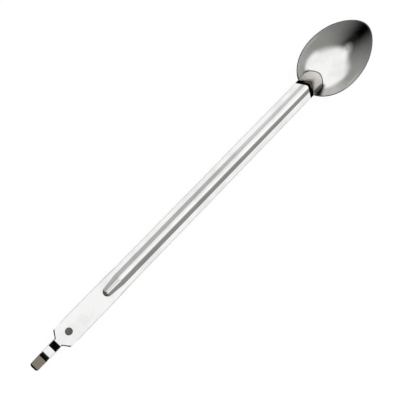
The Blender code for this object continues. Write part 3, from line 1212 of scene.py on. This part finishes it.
@dataclass(frozen=True)
class Lamp:
    """A soft lamp that one piece reflects.

    Lamps that overlap lie at different heights, because a reflection shows only one of
    several in the same plane.
    """

    name: str
    place: tuple[float, float, float]
    size: tuple[float, float]
    glow: float
    shape: LampShape = LampShape.RECTANGLE
    facing: LampFacing = LampFacing.DOWN

    def light(self, piece: bpy.types.Object) -> None:
        """Put the lamp in the scene, unseen by the camera.

        Args:
            piece: the only piece that it lights.
        """
        data = bpy.data.lights.new(self.name, "AREA")
        data.shape = self.shape.name
        data.size, data.size_y = self.size
        data.energy = math.pi * self.size[0] * self.size[1] * self.shape.value * self.glow
        item = linked(self.name, data)
        item.location = self.place
        item.rotation_euler = (self.facing.value, 0.0, 0.0)
        item.visible_camera = False
        item.light_linking.receiver_collection = group_of(f"{self.name}_receivers", piece)


@dataclass(frozen=True)
class Ceiling:
    """White ceiling that the steel reflects, laid out on a level plane overhead at height 1.

    Its edge behind the tail is a pair of hyperbolas, the left one flatter, and grows
    softer to both sides.
    """

    glow: float = 1.04
    lowest: float = 0.02
    nose: float = 0.12
    edge: float = 0.755
    left_share: float = 0.25
    left_bow: float = 0.69
    right_share: float = 0.30
    right_bow: float = 2.37
    softness: float = 0.16
    left_softness: float = 0.30
    right_softness: float = 0.36
    left_end: tuple[float, float] = (1.2, 2.9)
    right_end: tuple[float, float] = (-3.0, -1.2)
    front_end: tuple[float, float] = (1.2, 2.0)

    def share(self, tip: Signal, left: Signal, up: Signal) -> Signal:
        """How much of the ceiling is seen in a direction.

        Args:
            tip: part of the direction towards the bowl's tip.
            left: part towards the left side.
            up: part straight up.

        Returns:
            1 under the ceiling, 0 outside it.
        """
        height = up.at_least(self.lowest)
        along, across = tip / height, left / height
        on_left, on_right = (across - self.nose).sides()
        edge = (on_left * on_left * self.left_bow + 1.0) ** 0.5 * self.left_share
        edge = edge + (on_right * on_right * self.right_bow + 1.0) ** 0.5 * self.right_share
        soft = on_left * self.left_softness + on_right * self.right_softness + self.softness
        reach = ((along - edge + self.edge) / soft + 0.5).eased(0.0, 1.0)
        wide = across.eased(*self.right_end) * across.faded(*self.left_end)
        return reach * wide * along.faded(*self.front_end)


@dataclass(frozen=True)
class Curtain:
    """Dark curtain beyond the tip, which ends above the horizon on the right."""

    tone: float = 0.004
    right_end: tuple[float, float] = (math.radians(-43), math.radians(-35))
    left_end: tuple[float, float] = (math.radians(38), math.radians(46))
    top: tuple[float, float] = (math.radians(52), math.radians(58))
    hem: tuple[float, float] = (math.radians(67), math.radians(72))
    hem_end: tuple[float, float] = (math.radians(-28), math.radians(-12))

    def share(self, turn: Signal, zenith: Signal) -> Signal:
        """How much of the curtain is seen in a direction.

        Args:
            turn: angle from the bowl's tip towards the left side.
            zenith: angle from straight up.

        Returns:
            1 on the curtain, 0 outside it.
        """
        wide = turn.eased(*self.right_end) * turn.faded(*self.left_end)
        below = zenith.eased(*self.hem) * turn.faded(*self.hem_end)
        return wide * zenith.eased(*self.top) * (1.0 - below)


@dataclass(frozen=True)
class Walls:
    """The room below the ceiling, as the steel reflects it.

    Greys grow from the dark side behind the tail, by the cube of the direction's part to
    either side, and the wall beyond the tip is beige. A tan strip lies along the horizon
    behind the tail.
    """

    grey_tint: tuple[float, float, float] = (0.99, 1.0, 0.95)
    beige_tint: tuple[float, float, float] = (1.0, 0.985, 0.94)
    strip_tone: tuple[float, float, float, float] = (0.26, 0.235, 0.19, 1.0)
    middle: float = 0.07
    left_glow: float = 0.40
    right_glow: float = 0.24
    least_glow: float = 0.0005
    high_glow: float = 0.010
    high_fade: tuple[float, float] = (0.70, 0.83)
    front_glow: float = 0.39
    front_gain: float = 0.16
    front_sides: tuple[float, float] = (-0.5, 0.5)
    front_start: tuple[float, float] = (0.0, 0.5)
    strip_sides: tuple[float, float] = (0.90, 0.96)
    strip_top: tuple[float, float] = (1.31, 1.40)
    strip_foot: tuple[float, float] = (1.48, 1.56)

    def colour(self, graph: Graph, tip: Signal, left: Signal, zenith: Signal) -> Signal:
        """Colour of the room in a direction.

        Args:
            graph: the world's node tree.
            tip: level part of the direction towards the bowl's tip, 1 straight at it.
            left: level part towards the left side, 1 straight at it.
            zenith: angle from straight up.

        Returns:
            The colour of wall or strip.
        """
        on_left, on_right = (left - self.middle).sides()
        rear = on_left ** 3.0 * self.left_glow + on_right ** 3.0 * self.right_glow
        rear = rear + zenith.faded(*self.high_fade) * self.high_glow + self.least_glow
        front = left.eased(*self.front_sides) * self.front_gain + self.front_glow
        wall = graph.blend(tip.eased(*self.front_start), graph.tinted(self.grey_tint, rear),
                           graph.tinted(self.beige_tint, front))
        strip = zenith.eased(*self.strip_top) * zenith.faded(*self.strip_foot)
        strip = strip * (tip * -1.0).eased(*self.strip_sides)
        return graph.blend(strip, wall, self.strip_tone)


@dataclass(frozen=True)
class Surroundings:
    """World: white behind the spoon, a soft level fill, and the room in reflections.

    The steel sees the ceiling, the walls and the curtain, and below the horizon a ground
    that is pale to both sides and dark lengthwise, because the edges that face the sides
    are pale in the photograph and the others dark.
    """

    ceiling: Ceiling = Ceiling()
    curtain: Curtain = Curtain()
    walls: Walls = Walls()
    fill: float = 0.15
    horizon: tuple[float, float] = (1.55, 1.62)
    ground_glow: float = 0.7
    ground_sides: tuple[float, float] = (0.86, 0.97)
    least_level: float = 1e-6

    def room(self, graph: Graph) -> Signal:
        """Colour that reflections see.

        Args:
            graph: the world's node tree.

        Returns:
            The colour in each direction.
        """
        tip, left, up = graph.axes(graph.node("ShaderNodeTexCoord", None, None, "Generated"))
        level = (tip * tip + left * left).at_least(self.least_level) ** 0.5
        zenith = level.math("ARCTAN2", level, up)
        turn = level.math("ARCTAN2", left, tip)
        seen = self.walls.colour(graph, tip / level, left / level, zenith)
        seen = graph.blend(self.ceiling.share(tip, left, up), seen, grey(self.ceiling.glow))
        seen = graph.blend(self.curtain.share(turn, zenith), seen, grey(self.curtain.tone))
        side = ((left / level) ** 2.0).eased(*self.ground_sides)
        ground = graph.tinted((1.0, 1.0, 1.0), side * self.ground_glow)
        return graph.blend(zenith.eased(*self.horizon), seen, ground)

    def light(self) -> None:
        """Make the world, with what each kind of ray sees of it."""
        world = bpy.data.worlds.new("studio")
        bpy.context.scene.world = world
        graph = Graph(world)
        rays = graph.node("ShaderNodeLightPath").socket.node.outputs
        camera, glossy = (Signal(graph, rays[name]) for name in ("Is Camera Ray", "Is Glossy Ray"))
        plain = graph.blend(camera, grey(self.fill), grey(1.0))
        colour = graph.blend(glossy, plain, self.room(graph))
        light = graph.node("ShaderNodeBackground", None, {"Color": colour, "Strength": 1.0})
        graph.node("ShaderNodeOutputWorld", None, {"Surface": light})
        world.cycles.sampling_method = "NONE"


@dataclass
class Studio:
    """Plain floor, the key and the soft lamps, the surroundings, and the camera."""

    middle: tuple[float, float] = (-0.00268, -0.00262)
    frame_width: float = 0.4451
    turn: float = math.radians(-45.79)
    camera_height: float = 11.5
    sensor_mm: float = 36.0
    floor_size: float = 8.0
    floor_drop: float = 0.0002
    key_lean: float = math.radians(28)
    key_spread: float = math.radians(6)
    key_strength: float = 3.07
    surroundings: Surroundings = Surroundings()
    bowl_lamps: tuple[Lamp, ...] = (
        Lamp("lamp_halo", (-0.180, 0.20, 1.20), (0.52, 0.88), 0.07, LampShape.ELLIPSE),
        Lamp("lamp_body", (-0.160, 0.19, 1.22), (0.38, 0.66), 0.12, LampShape.ELLIPSE),
        Lamp("lamp_core", (-0.130, 0.18, 1.24), (0.24, 0.46), 0.20, LampShape.ELLIPSE),
    )
    strip_lamps: tuple[Lamp, ...] = (
        Lamp("left_panel", (0.0, 1.20, 0.30), (3.0, 0.42), 0.18, facing=LampFacing.RIGHT),
        Lamp("left_end_panel", (0.17, 1.18, 0.30), (0.20, 0.42), 0.20, facing=LampFacing.RIGHT),
        Lamp("right_panel", (0.0, -0.89, 1.0), (3.0, 0.98), 0.42),
        Lamp("rear_right_panel", (-0.95, -0.95, 0.96), (1.3, 1.1), 0.35),
        Lamp("rear_left_panel", (-0.95, 0.95, 0.96), (1.3, 1.1), 0.35),
    )

    def camera(self) -> None:
        """A long lens straight above the spoon, turned as in the photograph."""
        data = bpy.data.cameras.new("camera")
        data.sensor_width = self.sensor_mm
        data.lens = data.sensor_width * self.camera_height / self.frame_width
        data.clip_end = 2 * self.camera_height
        item = linked("camera", data)
        item.location = (*self.middle, self.camera_height)
        item.rotation_euler = (0.0, 0.0, self.turn)
        bpy.context.scene.camera = item

    def floor(self) -> None:
        """A pale matt floor just under the spoon, left out of reflections."""
        half = self.floor_size / 2
        corners = [(-half, -half), (half, -half), (half, half), (-half, half)]
        mesh = bpy.data.meshes.new("floor")
        mesh.from_pydata([(x, y, -self.floor_drop) for x, y in corners], [], [(0, 1, 2, 3)])
        material = bpy.data.materials.new("pale_floor")
        graph = Graph(material)
        matt = graph.node("ShaderNodeBsdfDiffuse", None, {"Color": grey(1.0)})
        graph.node("ShaderNodeOutputMaterial", None, {"Surface": matt})
        mesh.materials.append(material)
        item = linked("floor", mesh)
        item.visible_glossy = False

    def key(self, blocker: bpy.types.Object) -> None:
        """A distant lamp from beyond the tail, so that the handle's shadow lies under it.

        Args:
            blocker: the only piece that casts this lamp's shadow.
        """
        data = bpy.data.lights.new("key", "SUN")
        data.energy = self.key_strength
        data.angle = self.key_spread
        item = linked("key", data)
        item.rotation_euler = (0.0, -self.key_lean, 0.0)
        item.visible_glossy = False
        item.light_linking.blocker_collection = group_of("key_blockers", blocker)

    def build(self, shell: bpy.types.Object, strip: bpy.types.Object) -> None:
        """Set up floor, world, lamps and camera.

        Args:
            shell: the bowl's object, which the bowl's lamps light.
            strip: the handle's object, which the strip's lamps light.
        """
        self.floor()
        self.surroundings.light()
        self.key(strip)
        for lamps, piece in ((self.bowl_lamps, shell), (self.strip_lamps, strip)):
            for lamp in lamps:
                lamp.light(piece)
        self.camera()


def main() -> None:
    """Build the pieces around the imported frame, dress them and set up the studio."""
    logging.basicConfig(level=logging.INFO, format="%(name)s: %(message)s")
    bpy.context.scene.view_settings.view_transform = "Standard"
    bowl_low, bowl_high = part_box("bowl")
    strip_low, strip_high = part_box("handle")
    bowl = Bowl(bowl_low.x, bowl_high.x, bowl_high.y - bowl_low.y, bowl_high.z, SpotWelds())
    handle = Handle(strip_low.x, strip_high.x, bowl, Hook())
    bowl_steel = SteelFinish(
        "bowl_steel", (0.87, 0.87, 0.865), roughness=0.10, grain=Grain.BOWL,
        line_depth=0.0000012, haze=0.05, seam=handle.seam)
    strip_steel = SteelFinish(
        "handle_steel", (0.88, 0.88, 0.875), roughness=0.11, grain=Grain.LENGTHWISE,
        line_depth=0.0000010, haze=0.04, seam=handle.seam, crease_shade=handle.crease_shade, dull=handle.dull)
    weld_steel = SteelFinish(
        "weld_steel", (0.45, 0.43, 0.40), roughness=0.38, grain=Grain.NONE,
        line_depth=0.00002, haze=0.15)
    shell = bowl.build(bowl_steel.material())
    strip = handle.build(strip_steel.material())
    for piece, node, slot in ((shell, "bowl", "bowl_steel"), (strip, "handle", "handle_steel")):
        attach(piece, "root")
        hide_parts(node)
        LOG.info("%s stands for %s with %d faces", piece.name, node, len(piece.data.polygons))
    nugget_material = weld_steel.material()
    for name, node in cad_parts.items():
        if name.startswith("weld_nugget"):
            node.data.materials.clear()
            node.data.materials.append(nugget_material)
            LOG.info("%s keeps its solid", name)
    Studio().build(shell, strip)


if __name__ == "__main__":
    main()
